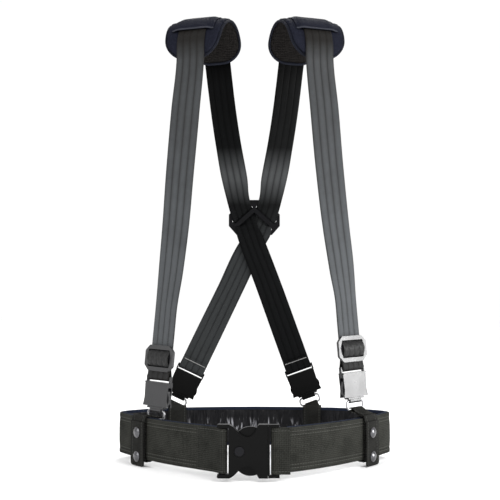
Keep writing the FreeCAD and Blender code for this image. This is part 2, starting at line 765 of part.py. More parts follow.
def revolved(points, side, first, last):
    """Turn an outline of (x, radius) about the arch's axis and place it on its shoulder."""
    corners = [vector(x, -radius, 0) for x, radius in points]
    face = Part.Face(Part.makePolygon(corners + corners[:1]))
    face.rotate(vector(0, 0, 0), vector(-1, 0, 0), first)
    body = face.revolve(vector(0, 0, 0), vector(-1, 0, 0), last - first)
    centre, across, front = pad_axes(side)
    return body, centre, across


def shoulder_pad(side):
    """Arched pad with round ends."""
    half = PAD_WIDTH / 2
    low = PAD_RADIUS - PAD_THICKNESS / 2
    high = PAD_RADIUS + PAD_THICKNESS / 2
    outline = [(-half, low), (half, low), (half, high), (-half, high)]
    body, centre, across = revolved(outline, side, PAD_FRONT_ANGLE, PAD_BACK_ANGLE)
    corners = [edge for edge in body.Edges if abs(edge.Length - PAD_THICKNESS) < 0.01]
    body = body.makeFillet(PAD_CORNER, corners)
    return [placed(body, centre, across, vector(0, 0, 1))]


def pad_sleeve(side):
    """Band across the top of the pad that holds the strap down."""
    high = PAD_RADIUS + PAD_THICKNESS / 2
    roof = high + STRAP_THICKNESS + 0.4
    strap_half = STRAP_WIDTH / 2 + 0.5
    wide = SLEEVE_HALF_WIDTH
    outline = [
        (-wide, high + 0.02),
        (-strap_half, high + 0.02),
        (-strap_half, roof),
        (strap_half, roof),
        (strap_half, high + 0.02),
        (wide, high + 0.02),
        (wide, high + 1.0),
        (strap_half + 1.5, roof + SLEEVE_WALL),
        (-strap_half - 1.5, roof + SLEEVE_WALL),
        (-wide, high + 1.0),
    ]
    body, centre, across = revolved(outline, side, SLEEVE_ANGLES[0], SLEEVE_ANGLES[1])
    return placed(body, centre, across, vector(0, 0, 1))


def cross_plate():
    """Eight-sided plate with two tilted slots and an opening under an inverted V bar."""
    wide = PLATE_HALF_WIDTH
    top = PLATE_Z + PLATE_HALF_HEIGHT
    low = PLATE_Z - PLATE_HALF_HEIGHT
    outline = [
        (15, top), (wide, PLATE_Z + 4), (wide, PLATE_Z - 12), (wide - 11, low),
        (-wide + 11, low), (-wide, PLATE_Z - 12), (-wide, PLATE_Z + 4), (-15, top),
    ]
    front = PLATE_Y - PLATE_THICKNESS / 2
    back = PLATE_Y + PLATE_THICKNESS / 2
    body = slab(outline, front, back)
    for side in (1, -1):
        slot = box(
            (-SLOT_HALF_LENGTH, SLOT_HALF_LENGTH), (front - 1, back + 1), (-SLOT_HALF_WIDTH, SLOT_HALF_WIDTH)
        )
        slot = round_edges(slot, 2.5, vector(0, 1, 0))
        slot.rotate(vector(0, 0, 0), vector(0, 1, 0), side * SLOT_TILT)
        slot.translate(vector(side * SLOT_CENTRE[0], 0, SLOT_CENTRE[1]))
        body = body.cut(slot)
    drop = (SLOT_HALF_WIDTH + CROSS_BAR) / cos(SLOT_TILT)
    slope = sin(SLOT_TILT) / cos(SLOT_TILT)
    apex = SLOT_CENTRE[1] + SLOT_CENTRE[0] * slope - drop
    span = 24.0
    opening = [(0, apex), (span, apex - span * slope), (span, low + 6.5), (-span, low + 6.5), (-span, apex - span * slope)]
    return [body.cut(slab(opening, front - 1, back + 1))]


# ---------------------------------------------------------------- nodes

os.makedirs("parts", exist_ok=True)

save("belt_webbing", belt_webbing())
save("belt_lining", belt_lining())
save("belt_edge_bindings", belt_bindings())

save("buckle_shell", buckle_shell())
save("buckle_plug", buckle_plug())
save("belt_right_fold", right_fold())
save("buckle_upper_tang", buckle_tang(1))
save("buckle_lower_tang", buckle_tang(-1))
save("buckle_button", buckle_button())
save("button_spring", button_spring())

for leg in LEGS:
    save("clip_housing_" + leg, clip_housing(leg))
    save("clip_plug_" + leg, clip_plug(leg))
    save("clip_arm_a_" + leg, clip_arm(leg, 1))
    save("clip_arm_b_" + leg, clip_arm(leg, -1))
    save("strap_eye_" + leg, strap_eye(leg))
    save("strap_slack_" + leg, strap_slack(leg))
    save("keeper_loop_" + leg, keeper_loop(leg))
    save("keeper_flap_" + leg, keeper_flap(leg))
    save("keeper_caps_" + leg, keeper_caps(leg))

save("clip_rings", [clip_ring(leg) for leg in LEGS])
save("keeper_studs", [stud for leg in LEGS for stud in keeper_studs(leg)])

for side, name in ((-1, "left"), (1, "right")):
    save("adjuster_frame_" + name, adjuster_frame("front_" + name))
    save("front_strap_" + name, front_strap("front_" + name, side))
    save("back_upper_strap_" + name, back_upper_strap(side))
    save("shoulder_pad_" + name, shoulder_pad(side))

save("pad_sleeves", [pad_sleeve(-1), pad_sleeve(1)])
save("cross_plate", cross_plate())
save("back_lower_strap_left", back_lower_strap("back_left", -3.2, vector(-31, 94.2, 190), 12.6))
save("back_lower_strap_right", back_lower_strap("back_right", -5.7, vector(16, 91.4, 200), -12.6))
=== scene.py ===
import bpy
import math
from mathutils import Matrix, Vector, noise


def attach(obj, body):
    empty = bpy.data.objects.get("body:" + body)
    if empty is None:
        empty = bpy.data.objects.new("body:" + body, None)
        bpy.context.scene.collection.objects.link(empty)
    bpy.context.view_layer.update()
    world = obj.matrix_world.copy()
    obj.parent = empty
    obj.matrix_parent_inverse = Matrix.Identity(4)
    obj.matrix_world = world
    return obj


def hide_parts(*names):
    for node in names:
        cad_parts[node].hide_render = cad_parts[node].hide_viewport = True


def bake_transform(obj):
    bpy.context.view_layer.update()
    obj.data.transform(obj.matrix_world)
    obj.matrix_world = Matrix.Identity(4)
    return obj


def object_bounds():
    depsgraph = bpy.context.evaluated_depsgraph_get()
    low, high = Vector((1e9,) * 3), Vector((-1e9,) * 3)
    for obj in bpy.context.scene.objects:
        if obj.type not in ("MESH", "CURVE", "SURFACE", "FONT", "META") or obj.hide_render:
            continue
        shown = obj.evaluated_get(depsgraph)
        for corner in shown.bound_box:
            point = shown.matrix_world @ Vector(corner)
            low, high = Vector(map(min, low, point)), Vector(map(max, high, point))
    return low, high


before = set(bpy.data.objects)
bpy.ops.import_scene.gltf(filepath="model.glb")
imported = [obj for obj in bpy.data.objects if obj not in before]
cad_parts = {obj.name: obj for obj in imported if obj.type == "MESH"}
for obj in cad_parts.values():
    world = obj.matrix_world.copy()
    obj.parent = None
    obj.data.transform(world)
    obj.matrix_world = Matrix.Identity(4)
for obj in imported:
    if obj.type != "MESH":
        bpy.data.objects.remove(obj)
cad_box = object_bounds()
mm = 0.001

# ------------------------------
# Studio. The belt stands on a plain pale floor under a white sky, with a key light high on the
# right, one level with the right clips, a weaker one on the left and one behind for the edges.

FLOOR_SIZE = 14
FLOOR_GAP = 0.0008
CAMERA_PLACE = (-6, -1012, 162)
CAMERA_TILT = 94
CAMERA_LENS = 57.6
SENSOR_WIDTH = 36

bpy.ops.object.select_all(action="DESELECT")
bpy.ops.mesh.primitive_plane_add(size=FLOOR_SIZE, location=(0, 4, cad_box[0][2] - FLOOR_GAP))
floor = bpy.context.object
floor.name = "studio_floor"
floor_finish = bpy.data.materials.new("pale_floor")
floor_finish.use_nodes = True
floor_paint = floor_finish.node_tree.nodes["Principled BSDF"]
floor_paint.inputs["Base Color"].default_value = (1, 1, 1, 1)
floor_paint.inputs["Roughness"].default_value = 0.85
floor.data.materials.append(floor_finish)

sky = bpy.data.worlds.new("white_sky")
sky.use_nodes = True
sky.node_tree.nodes["Background"].inputs["Color"].default_value = (1, 1, 1, 1)
sky.node_tree.nodes["Background"].inputs["Strength"].default_value = 1.02
bpy.context.scene.world = sky
bpy.context.scene.view_settings.view_transform = "Standard"


def soft_light(name, place, aim, size, power):
    """Square area light at a place, turned towards an aim."""
    bpy.ops.object.light_add(type="AREA", location=place)
    lamp = bpy.context.object
    lamp.name = name
    lamp.data.size = size
    lamp.data.energy = power
    lamp.rotation_euler = (Vector(aim) - Vector(place)).to_track_quat("-Z", "Y").to_euler()


soft_light("key_light", (0.85, -1.0, 1.1), aim=(0, 0, 0.2), size=0.5, power=12)
soft_light("side_light", (1.25, -0.3, 0.12), aim=(0.12, 0, 0.07), size=0.45, power=12)
soft_light("fill_light", (-1.2, -0.8, 0.7), aim=(0, 0, 0.2), size=0.9, power=7)
soft_light("edge_light", (0.1, 0.9, 1.3), aim=(0, 0, 0.3), size=0.8, power=10)

bpy.ops.object.camera_add(
    location=[part * mm for part in CAMERA_PLACE], rotation=(math.radians(CAMERA_TILT), 0, 0)
)
camera = bpy.context.object
camera.name = "camera"
camera.data.lens = CAMERA_LENS
camera.data.sensor_width = SENSOR_WIDTH
bpy.context.scene.camera = camera

# ------------------------------
# Shapes shared by the pieces. Angles are in degrees and places in mm until a mesh is made. A rail
# is a list of (centre, half-width vector, outward direction), and every strip is laid on one.

# The right half of the belt in plan, from the front: radius and last heading of each arc. The
# last arc has no radius of its own, because it ends on the middle line at the back.
BELT_ARCS = ((90, 32), (405, 56), (16, 142), (150, 169.6), (None, 180))
BELT_FRONT = -102

# Every strip's edges are rounded by a share of its thickness, up to a widest bevel.
BEVEL_SHARE = 0.28
WIDEST_BEVEL = 0.6
BEVEL_ANGLE = 50
SMOOTH_ANGLE = 40


def sin(degrees):
    return math.sin(math.radians(degrees))


def cos(degrees):
    return math.cos(math.radians(degrees))


def outward(heading):
    """Direction of a heading: 0 is towards the camera and 90 is to the right."""
    return Vector((sin(heading), -cos(heading), 0))


def along(heading):
    """Direction square to a heading, level, and to its left when seen from the middle."""
    return Vector((cos(heading), sin(heading), 0))


def belt_arcs():
    """Right half of the belt's centreline, as (centre, radius, first heading, last heading)."""
    arcs = []
    point = Vector((0, BELT_FRONT, 0))
    heading = 0.0
    for radius, last in BELT_ARCS:
        if radius is None:
            radius = point.x / sin(heading)
        centre = point - outward(heading) * radius
        arcs.append((centre, radius, heading, last))
        point = centre + outward(last) * radius
        heading = last
    return arcs


def belt_half(side, start, step):
    """Points and outward directions from a heading round to the back, about a step apart."""
    stops = []
    for centre, radius, first, last in belt_arcs():
        low = max(first, start)
        if low >= last:
            continue
        count = max(1, round(radius * math.radians(last - low) / step))
        for index in range(count):
            facing = outward(low + (last - low) * index / count)
            stops.append((centre + facing * radius, facing))
    mirror = Vector((side, 1, 1))
    return [(point * mirror, facing * mirror) for point, facing in stops]


def belt_rail(right_start, left_start, offset, half_height, step=3.0):
    """Rail along the whole belt, a little outward or inward of its centreline."""
    stops = belt_half(1, right_start, step)
    back = belt_arcs()[-1]
    stops.append((back[0] + outward(180) * back[1], outward(180)))
    stops += reversed(belt_half(-1, left_start, step))
    half = Vector((0, 0, half_height))
    return [(point + facing * offset, half, facing) for point, facing in stops]


def flat_relief(run, across):
    """Relief of a strip that is plain all over."""
    return 0.0


def lay_strip(name, rail, rows, thickness, relief=flat_relief):
    """Grid laid on a rail, with a UV map in metres, thickened evenly both ways and closed.

    The relief gives each point's height above the rail from its run and its place across.
    """
    bpy.ops.object.select_all(action="DESELECT")
    bpy.ops.mesh.primitive_grid_add(x_subdivisions=len(rail) - 1, y_subdivisions=rows, size=2)
    strip = bpy.context.object
    strip.name = name
    runs = [0.0]
    for before, after in zip(rail, rail[1:]):
        runs.append(runs[-1] + (after[0] - before[0]).length)
    last = len(rail) - 1
    places = {}
    for vertex in strip.data.vertices:
        index = min(last, max(0, round((vertex.co.x + 1) / 2 * last)))
        share = vertex.co.y
        centre, half, facing = rail[index]
        across = share * half.length
        rise = relief(runs[index], across)
        places[vertex.index] = (runs[index] * mm, across * mm)
        vertex.co = (centre + half * share + facing * rise) * mm
    layer = strip.data.uv_layers.active
    for loop in strip.data.loops:
        layer.data[loop.index].uv = places[loop.vertex_index]
    solid = strip.modifiers.new("thickness", "SOLIDIFY")
    solid.thickness = thickness * mm
    solid.offset = 0
    bpy.ops.object.modifier_apply(modifier=solid.name)
    bevel = strip.modifiers.new("soft_edge", "BEVEL")
    bevel.width = min(BEVEL_SHARE * thickness, WIDEST_BEVEL) * mm
    bevel.segments = 2
    bevel.limit_method = "ANGLE"
    bevel.angle_limit = math.radians(BEVEL_ANGLE)
    bpy.ops.object.modifier_apply(modifier=bevel.name)
    bpy.ops.object.mode_set(mode="EDIT")
    bpy.ops.mesh.select_all(action="SELECT")
    bpy.ops.mesh.normals_make_consistent(inside=False)
    bpy.ops.object.mode_set(mode="OBJECT")
    bpy.ops.object.shade_smooth_by_angle(angle=math.radians(SMOOTH_ANGLE))
    return strip


def blend_rail(stops, step=2.0):
    """Smooth rail through stops shaped like a rail's, spaced about a step apart."""
    gaps = [(after[0] - before[0]).length for before, after in zip(stops, stops[1:])]
    slopes = []
    for index in range(len(stops)):
        row = []
        for part in range(3):
            if index == 0:
                slope = (stops[1][part] - stops[0][part]) / gaps[0]
            elif index == len(stops) - 1:
                slope = (stops[-1][part] - stops[-2][part]) / gaps[-1]
            else:
                into = (stops[index][part] - stops[index - 1][part]) / gaps[index - 1]
                out = (stops[index + 1][part] - stops[index][part]) / gaps[index]
                slope = into * gaps[index] + out * gaps[index - 1]
                slope = slope / (gaps[index] + gaps[index - 1])
            row.append(slope)
        slopes.append(row)
    rail = []
    for index, gap in enumerate(gaps):
        count = max(1, round(gap / step))
        for piece in range(count):
            t = piece / count
            row = []
            for part in range(3):
                a, b = stops[index][part], stops[index + 1][part]
                m, n = slopes[index][part] * gap, slopes[index + 1][part] * gap
                value = a * (2 * t**3 - 3 * t**2 + 1) + m * (t**3 - 2 * t**2 + t)
                row.append(value + b * (3 * t**2 - 2 * t**3) + n * (t**3 - t**2))
            rail.append((row[0], row[1], row[2].normalized()))
    rail.append((stops[-1][0], stops[-1][1], stops[-1][2].normalized()))
    return rail


# ------------------------------
# Materials shared by the pieces. Each is built from a few node groups, laid either on a strip's
# UV map, which is in metres along and across it, or on the object's own coordinates.

STITCH_PITCH = 0.0036
THREAD_WIDTH = 0.00055
GROOVE_WIDTH = 0.0013


def wear(piece, finish):
    piece.data.materials.clear()
    piece.data.materials.append(finish)


def calc(tree, operation, *values):
    """Math node fed by sockets or numbers, giving its result."""
    step = tree.nodes.new("ShaderNodeMath")
    step.operation = operation
    for socket, value in zip(step.inputs, values):
        if isinstance(value, (int, float)):
            socket.default_value = value
        else:
            tree.links.new(value, socket)
    return step.outputs[0]


def times(tree, *values):
    """Product of sockets or numbers, taken in their order."""
    result = values[0]
    for value in values[1:]:
        result = calc(tree, "MULTIPLY", result, value)
    return result


def new_group(name, numbers, output):
    """Empty node group fed by a vector and some numbers: its tree, given values and result."""
    tree = bpy.data.node_groups.new(name, "ShaderNodeTree")
    tree.interface.new_socket("Vector", in_out="INPUT", socket_type="NodeSocketVector")
    for label in numbers:
        tree.interface.new_socket(label, in_out="INPUT", socket_type="NodeSocketFloat")
    tree.interface.new_socket(output, in_out="OUTPUT", socket_type="NodeSocketFloat")
    given = tree.nodes.new("NodeGroupInput").outputs
    return tree, given, tree.nodes.new("NodeGroupOutput").inputs[output]


def split(tree, vector):
    """The three parts of a vector."""
    parts = tree.nodes.new("ShaderNodeSeparateXYZ")
    tree.links.new(vector, parts.inputs[0])
    return parts.outputs


def clamp(tree, value):
    """A value held between 0 and 1."""
    return calc(tree, "MINIMUM", calc(tree, "MAXIMUM", value, 0.0), 1.0)


def ramp(tree, value, start, end):
    """Factor that climbs from 0 at a start to 1 at an end."""
    climb = calc(tree, "DIVIDE", calc(tree, "SUBTRACT", value, start), end - start)
    return clamp(tree, climb)


def plain_weave_group():
    """Over-and-under threads of one pitch, as a height from 0 to 1."""
    tree, given, result = new_group("plain_weave", ["Pitch"], "Height")
    x, y = split(tree, given["Vector"])[:2]
    warp, weft = (
        calc(tree, "SINE", times(tree, calc(tree, "DIVIDE", part, given["Pitch"]), math.pi))
        for part in (x, y)
    )
    over = calc(tree, "GREATER_THAN", times(tree, warp, weft), 0.0)
    under = calc(tree, "SUBTRACT", 1.0, over)
    lifted = times(tree, over, calc(tree, "ABSOLUTE", weft))
    sunk = times(tree, under, calc(tree, "ABSOLUTE", warp))
    tree.links.new(calc(tree, "ADD", lifted, sunk), result)
    return tree


def stitch_group():
    """Two rows of thread, one each side of the middle line, as a mask from 0 to 1."""
    tree, given, result = new_group("thread_row", ["Row", "Pitch", "Thread"], "Mask")
    x, y = split(tree, given["Vector"])[:2]
    away = calc(tree, "SUBTRACT", calc(tree, "ABSOLUTE", y), given["Row"])
    away = calc(tree, "DIVIDE", away, given["Thread"])
    round_over = calc(tree, "SUBTRACT", 1.0, times(tree, away, away))
    turn = calc(tree, "FRACT", calc(tree, "DIVIDE", x, given["Pitch"]))
    turn = calc(tree, "DIVIDE", calc(tree, "SUBTRACT", turn, 0.5), 0.38)
    dip = calc(tree, "SUBTRACT", 1.0, calc(tree, "POWER", calc(tree, "ABSOLUTE", turn), 4.0))
    round_over = calc(tree, "MAXIMUM", round_over, 0.0)
    both = times(tree, round_over, calc(tree, "MAXIMUM", dip, 0.0))
    tree.links.new(calc(tree, "MINIMUM", times(tree, both, 2.0), 1.0), result)
    return tree


def mottle_group():
    """Uneven dye and handling marks: broad and fine noise, as a factor around 1."""
    tree, given, result = new_group("uneven_dye", ["Broad", "Depth"], "Factor")
    total = None
    for spread, share in ((1.0, 0.6), (9.0, 0.4)):
        cloud = tree.nodes.new("ShaderNodeTexNoise")
        cloud.inputs["Detail"].default_value = 4
        tree.links.new(given["Vector"], cloud.inputs["Vector"])
        tree.links.new(times(tree, given["Broad"], spread), cloud.inputs["Scale"])
        part = times(tree, calc(tree, "SUBTRACT", cloud.outputs[0], 0.5), share * 2)
        total = part if total is None else calc(tree, "ADD", total, part)
    factor = calc(tree, "ADD", 1.0, times(tree, total, given["Depth"]))
    tree.links.new(factor, result)
    return tree


plain_weave = plain_weave_group()
thread_row = stitch_group()
uneven_dye = mottle_group()


def new_finish(name, roughness, specular=0.5):
    """Material with its tree and its shader."""
    finish = bpy.data.materials.new(name)
    finish.use_nodes = True
    tree = finish.node_tree
    shader = tree.nodes["Principled BSDF"]
    shader.inputs["Roughness"].default_value = roughness
    shader.inputs["Specular IOR Level"].default_value = specular
    return finish, tree, shader


def place_group(tree, group, **values):
    """Node group put in a material, fed by sockets or numbers named as its inputs."""
    node = tree.nodes.new("ShaderNodeGroup")
    node.node_tree = group
    for label, value in values.items():
        if isinstance(value, (int, float)):
            node.inputs[label].default_value = value
        else:
            tree.links.new(value, node.inputs[label])
    return node.outputs[0]


def tint(tree, dark, light, mask):
    """Colour between two, by a mask."""
    mix = tree.nodes.new("ShaderNodeMix")
    mix.data_type = "RGBA"
    for socket, colour in ((mix.inputs[6], dark), (mix.inputs[7], light)):
        if isinstance(colour, tuple):
            socket.default_value = colour + (1,)
        else:
            tree.links.new(colour, socket)
    tree.links.new(mask, mix.inputs[0])
    return mix.outputs[2]


def surface(tree, shader, colour, height, depth):
    """Give a shader its colour and a bump of a real depth in metres."""
    tree.links.new(colour, shader.inputs["Base Color"])
    bump = tree.nodes.new("ShaderNodeBump")
    bump.inputs["Distance"].default_value = depth
    tree.links.new(height, bump.inputs["Height"])
    tree.links.new(bump.outputs[0], shader.inputs["Normal"])


def texture_place(tree, kind):
    return tree.nodes.new("ShaderNodeTexCoord").outputs[kind]


def cloudy(tree, broad, depth):
    """Uneven dye over the whole object: how many marks to a metre, and how strong."""
    place = texture_place(tree, "Object")
    return place_group(tree, uneven_dye, Vector=place, Broad=broad, Depth=depth)


def woven_cloth(name, dark, light, pitch, rows):
    """Coarse woven nylon with rows of stitching at set distances from its middle line."""
    finish, tree, shader = new_finish(name, roughness=0.85, specular=0.04)
    uv = texture_place(tree, "UV")
    weave = place_group(tree, plain_weave, Vector=uv, Pitch=pitch)
    dye = cloudy(tree, broad=55.0, depth=1.3)
    shade = times(tree, calc(tree, "POWER", weave, 0.7), dye)
    colour = tint(tree, dark, light, shade)
    height = times(tree, weave, 0.55)
    thread_colour = tuple(part * 1.6 + 0.014 for part in light)
    for row in rows:
        thread, groove = (
            place_group(tree, thread_row, Vector=uv, Row=row, Pitch=STITCH_PITCH, Thread=width)
            for width in (THREAD_WIDTH, GROOVE_WIDTH)
        )
        colour = tint(tree, colour, thread_colour, thread)
        height = calc(tree, "SUBTRACT", height, times(tree, groove, 0.35))
        height = calc(tree, "ADD", height, times(tree, thread, 0.8))
    surface(tree, shader, colour, height, 0.0009)
    return finish


# ------------------------------
# Belt cover. The load-bearing outer band: two layers of coarse black-grey woven nylon, 50 mm
# wide, sewn together with double rows of thread along both edges.

# The belt is open at the buckle: its right end is at this X, and its left end at this heading.
BELT_END_X = 36.2
BELT_LEFT_START = 28
BELT_HALF_HEIGHT = 25


def cover_relief(run, across):
    """Quilting between the sewn rows, and the slight wander of a belt that has been worn."""
    quilt = 0.35 * max(0.0, 1 - (abs(across) / 15.5) ** 4)
    lip = -0.35 * max(0.0, 1 - abs(abs(across) - 18.5) / 2.2)
    return quilt + lip + 0.35 * noise.noise(Vector((run / 55, across / 40, 3)))


belt_nylon = woven_cloth(
    "coarse_nylon", (0.0015, 0.0016, 0.0014), (0.036, 0.0365, 0.032),
    pitch=0.0021, rows=(0.0205, 0.0165),
)
belt_right_start = math.degrees(math.asin(BELT_END_X / BELT_ARCS[0][0]))
cover_rail = belt_rail(belt_right_start, BELT_LEFT_START, 1.25, BELT_HALF_HEIGHT)
belt_cover = lay_strip("belt_cover", cover_rail, rows=24, thickness=3.4, relief=cover_relief)
wear(belt_cover, belt_nylon)
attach(belt_cover, "belt")
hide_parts("belt_webbing")

# ------------------------------
# Belt lining. A thin padded strip of black satin against the body, quilted to the cover, with
# upright puckers all along it where the stitching draws it in.

SEWN_HALF_HEIGHT = 22.5


def satin_finish():
    """Black satin with painted glints: light streaks painted into its colour where its upright
    creases would catch the light, along the middle of the lining. Its colour is also darker in the
    hollows of the puckers, as painted shade.

    The painted glints keep to a band across the lining's width, and mostly to its back.
    """
    finish, tree, shader = new_finish("crinkled_satin", roughness=0.25, specular=0.2)
    uv = texture_place(tree, "UV")
    stretch = tree.nodes.new("ShaderNodeMapping")
    stretch.inputs["Scale"].default_value = (1.0, 0.16, 1.0)
    tree.links.new(uv, stretch.inputs["Vector"])
    pucker = tree.nodes.new("ShaderNodeTexNoise")
    pucker.inputs["Scale"].default_value = 260
    pucker.inputs["Detail"].default_value = 3
    pucker.inputs["Distortion"].default_value = 0.8
    tree.links.new(stretch.outputs[0], pucker.inputs["Vector"])
    # Painted glints: light streaks where the highest puckers would catch the light.
    painted_glint = clamp(tree, times(tree, calc(tree, "SUBTRACT", pucker.outputs[0], 0.55), 8.0))
    across = split(tree, uv)[1]
    aside = split(tree, texture_place(tree, "Object"))[0]
    for part, narrowness, least in ((across, 80.0, 0.0), (aside, 9.0, 0.12)):
        away = times(tree, part, narrowness)
        band = calc(tree, "SUBTRACT", 1.0, times(tree, away, away))
        painted_glint = times(tree, painted_glint, calc(tree, "MAXIMUM", band, least))
    # Painted shade: the colour is darker in the hollows of the puckers and lighter on their
    # crowns.
    base = tint(tree, (0.001, 0.001, 0.0015), (0.018, 0.018, 0.02), pucker.outputs[0])
    colour = tint(tree, base, (0.42, 0.42, 0.45), painted_glint)
    surface(tree, shader, colour, pucker.outputs[0], 0.0022)
    return finish


def lining_relief(run, across):
    """Puckers drawn in by the edge stitching, standing inwards from the cover."""
    share = abs(across) / SEWN_HALF_HEIGHT
    crown = 0.9 * (1 - share**3)
    pucker = noise.noise(Vector((run / 6.5, across / 30, 0)))
    pucker += 0.5 * noise.noise(Vector((run / 2.8, across / 12, 7)))
    return -crown * 0.6 - 1.3 * pucker * (0.35 + 0.65 * (1 - share**4))


lining_rail = belt_rail(belt_right_start, BELT_LEFT_START, -1.75, 22.6, step=1.6)
belt_lining = lay_strip(
    "belt_lining_satin", lining_rail, rows=26, thickness=1.9, relief=lining_relief
)
wear(belt_lining, satin_finish())
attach(belt_lining, "belt")
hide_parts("belt_lining")

# ------------------------------
# Edge bindings. A blue-black ribbed tape folded over the upper and lower edge of cover and
# lining, standing a little proud of both.

TAPE_RIB = 0.0009
BINDING_HALF_WIDTH = 1.75
BINDING_HEIGHT = 24.6


def tape_finish(name, dark, light):
    """Tape with fine ribs across it."""
    finish, tree, shader = new_finish(name, roughness=0.6, specular=0.03)
    run = split(tree, texture_place(tree, "UV"))[0]
    rib = calc(tree, "ABSOLUTE", calc(tree, "SINE", times(tree, run, math.pi / TAPE_RIB)))
    shade = times(tree, rib, cloudy(tree, broad=45.0, depth=0.4))
    surface(tree, shader, tint(tree, dark, light, shade), rib, 0.0003)
    return finish


def binding_rail(sign):
    """Rail on the belt's edge whose half-width runs across the belt's thickness."""
    rail = []
    for centre, _, facing in belt_rail(belt_right_start, BELT_LEFT_START, -1.7, 1):
        edge = centre + Vector((0, 0, sign * BINDING_HEIGHT))
        rail.append((edge, facing * BINDING_HALF_WIDTH, Vector((0, 0, sign))))
    return rail


def tape_relief(run, across):
    """Folded tape: high on the edge, turned down on both faces."""
    turned_down = 3.4 * (abs(across) / BINDING_HALF_WIDTH) ** 5
    return 0.75 - turned_down + 0.15 * noise.noise(Vector((run / 20, 0, 5)))


belt_tape = tape_finish("blue_black_tape", (0.003, 0.004, 0.008), (0.02, 0.026, 0.045))
for label, sign in (("upper", 1), ("lower", -1)):
    tape = lay_strip(
        "belt_binding_" + label, binding_rail(sign), rows=12, thickness=0.5, relief=tape_relief
    )
    wear(tape, belt_tape)
    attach(tape, "belt")
    if sign > 0:
        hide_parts("belt_edge_bindings")

# ------------------------------
# Buckle. A three-point side-release buckle moulded in black acetal: hollow shell on the left,
# plug with two flexing tangs and a push button. The CAD solids carry the shape.


def moulded_plastic(name, base, gloss, grain, specular=0.07):
    """Satin moulded plastic: fine spark-eroded grain, with scuffs that are a little rougher."""
    finish, tree, shader = new_finish(name, gloss, specular)
    place = texture_place(tree, "Object")
    dye = place_group(tree, uneven_dye, Vector=place, Broad=60.0, Depth=0.5)
    lighter = tuple(part * 2.1 + 0.002 for part in base)
    colour = tint(tree, base, lighter, times(tree, dye, 0.45))
    scuff = times(tree, calc(tree, "SUBTRACT", dye, 1.0), 0.22)
    tree.links.new(calc(tree, "ADD", scuff, gloss), shader.inputs["Roughness"])
    sparks = tree.nodes.new("ShaderNodeTexNoise")
    sparks.inputs["Scale"].default_value = 2600
    sparks.inputs["Detail"].default_value = 2
    tree.links.new(place, sparks.inputs["Vector"])
    surface(tree, shader, colour, sparks.outputs[0], grain)
    return finish


black_acetal = moulded_plastic("black_acetal", (0.0018, 0.0018, 0.0018), gloss=0.34, grain=0.00006)
button_acetal = moulded_plastic("button_acetal", (0.006, 0.006, 0.007), gloss=0.22, grain=0.00003)
for node in ("buckle_shell", "buckle_plug", "buckle_upper_tang", "buckle_lower_tang"):
    wear(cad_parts[node], black_acetal)
wear(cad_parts["buckle_button"], button_acetal)

# ------------------------------
# Webbing folds at the buckle. On the left the belt passes round the shell's bar and is sewn
# back on itself; on the right a short folded end is sewn round the plug's bar.


def in_plan(spots, half_height):
    """Rail of an upright strip through spots of (x, y), facing left of its run."""
    stops = []
    for index, (x, y) in enumerate(spots):
        before = spots[max(index - 1, 0)]
        after = spots[min(index + 1, len(spots) - 1)]
        run = Vector((after[0] - before[0], after[1] - before[1], 0)).normalized()
        stops.append((Vector((x, y, 0)), Vector((0, 0, half_height)), Vector((-run.y, run.x, 0))))
    return blend_rail(stops, 1.5)


left_spots = [(-66, -80.6), (-58, -86.4), (-48.5, -93.4), (-41.4, -100.6), (-38.3, -104.4)]
left_spots += [(-35, -105.1), (-32.4, -102.6), (-33.8, -99.2), (-37.3, -97.2), (-44, -92.6)]
fold_nylon = woven_cloth(
    "fold_nylon", (0.0015, 0.0016, 0.0014), (0.03, 0.0305, 0.027), pitch=0.0021, rows=(0.0225,)
)
left_fold = lay_strip("belt_left_fold", in_plan(left_spots, 24.6), rows=18, thickness=2.0)
wear(left_fold, fold_nylon)
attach(left_fold, "belt")

right_spots = [(39.2, -103.3), (30, -103.6), (25, -104.6), (21.6, -105.4), (18.8, -103.6)]
right_spots += [(18.8, -100.4), (21.6, -98.7), (25, -99.3), (30, -100.4), (39.2, -100.7)]
right_rail = in_plan(right_spots, 25.9)
right_fold = lay_strip("belt_right_fold_webbing", right_rail, rows=18, thickness=2.0)
wear(right_fold, fold_nylon)
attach(right_fold, "buckle_plug")
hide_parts("belt_right_fold")

# ------------------------------
# Front straps. Grey silky polyester webbing, 35 mm wide, with four round ribs. Each runs over
# its shoulder pad, down behind the slide adjuster, round the clip's bar and back up in front.

# Each leg's clip: its centre, the way up the leg, the heading its face has, the heading of its
# keeper on the belt, and the keeper's width.
LEGS = {
    "front_left": ((-120, -10, 53), (10, 5, 123), -36, -49, 28),
    "front_right": ((122, -10, 65), (-9, 5, 123), 36, 49, 28),
    "back_left": ((-95, 88, 57), (64, 6.2, 133), -174, -168, 24),
    "back_right": ((67, 88, 58), (-51, 3.4, 142), 174, 171.9, 24),
}
STRAP_HALF = 17.5
STRAP_REACH = 54.95
RIB_WIDTH = 0.00875
PICK_LENGTH = 0.0021

# Heights on a leg where the belt would stop carrying a strap and the clip start to. Their places
# are worked out for each strap below, but nothing uses them.
CARRY_HEIGHTS = (64, 38)

# The turn round a clip's bar, as (inward, up) of the leg and how the webbing faces both ways.
BAR_TURN = [(-0.3, 38, -1, 0), (0.4, 31, -1, 0), (1.8, 25, -1, -0.2), (2.6, 20, -1, 0)]
BAR_TURN += [(0, 17.4, 0, 1), (-2.6, 20, 1, 0), (-2.4, 25, 1, 0), (-2.0, 29, 1, 0)]

# How much further out the right strap hangs than a mirror image of the left one.
RIGHT_STRAP_SWING = 4

# Where a strap's colour changes, in metres: along it from the pad's top, and above the belt. The
# sleeve's shadow is painted shade, the lightening further down is painted light and the gleam just
# over the cross plate is a painted highlight; the strap is also made darker above the plate.
SLEEVE_SHADOW = (0.072, 0.098)
